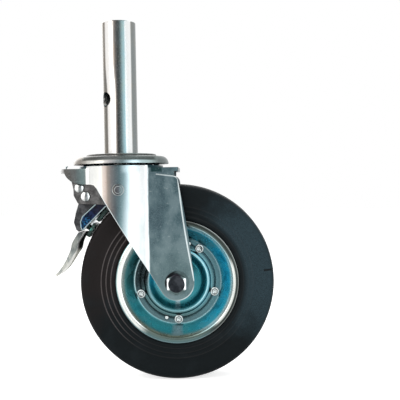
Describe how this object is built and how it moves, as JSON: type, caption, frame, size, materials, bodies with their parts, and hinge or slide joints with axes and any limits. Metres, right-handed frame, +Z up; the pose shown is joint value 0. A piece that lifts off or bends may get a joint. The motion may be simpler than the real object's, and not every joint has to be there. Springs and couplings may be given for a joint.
{
  "type": "scaffold castor",
  "caption": "Scaffold castor with a spigot stem, double ball race swivel, pressed fork, 200 mm solid rubber tyre on a pressed rim, and a foot brake.",
  "frame": {"origin": "on the stem's axis, where the stem tube stands on the swivel cover", "axes": "+Z up along the stem, +X towards the trailing wheel, the brake leads at -X"},
  "size_m": [0.2244, 0.0996, 0.37],
  "materials": {
    "zinc_steel": "zinc plated",
    "blue_zinc_steel": "blue zinc plated",
    "dark_steel": "dark plated",
    "rubber": "matt"
  },
  "bodies": {
    "stem_head": {"stem_tube": "zinc_steel", "swivel_cover": "zinc_steel", "kingpin": "zinc_steel", "lower_race_cup": "zinc_steel", "kingpin_nut": "zinc_steel"},
    "fork": {"fork_frame": "zinc_steel", "upper_ball_ring": "dark_steel", "lower_ball_ring": "dark_steel", "cross_pin": "zinc_steel", "axle_bolt": "zinc_steel", "axle_nut": "zinc_steel", "axle_washer_near": "zinc_steel", "axle_washer_far": "zinc_steel", "axle_sleeve": "zinc_steel", "brake_bracket": "dark_steel", "stop_pin": "dark_steel", "lever_pivot": "dark_steel", "return_spring": "zinc_steel"},
    "wheel": {"tyre": "rubber", "rim_near": "blue_zinc_steel", "rim_far": "blue_zinc_steel", "hub_tube": "zinc_steel", "hub_bush_near": "dark_steel", "hub_bush_far": "dark_steel", "rim_rivet_1": "zinc_steel", "rim_rivet_2": "zinc_steel", "rim_rivet_3": "zinc_steel", "rim_rivet_4": "zinc_steel", "rim_rivet_5": "zinc_steel", "small_rivet_1": "zinc_steel", "small_rivet_2": "zinc_steel"},
    "brake_lever": {"lever_arm": "dark_steel", "shoe_channel": "blue_zinc_steel", "brake_shoe_1": "zinc_steel", "brake_shoe_2": "zinc_steel", "pedal": "zinc_steel"}
  },
  "joints": [
    {"name": "fork_swivel", "type": "hinge", "parent": "stem_head", "child": "fork", "pos_m": [0, 0, 0], "axis": [0, 0, 1], "continuous": true},
    {"name": "wheel_spin", "type": "hinge", "parent": "fork", "child": "wheel", "pos_m": [0.057, 0, -0.132], "axis": [0, 1, 0], "continuous": true},
    {"name": "brake_pedal", "type": "hinge", "parent": "fork", "child": "brake_lever", "pos_m": [-0.0343, 0, -0.043], "axis": [0, 1, 0], "range_deg": [0, 25]}
  ]
}
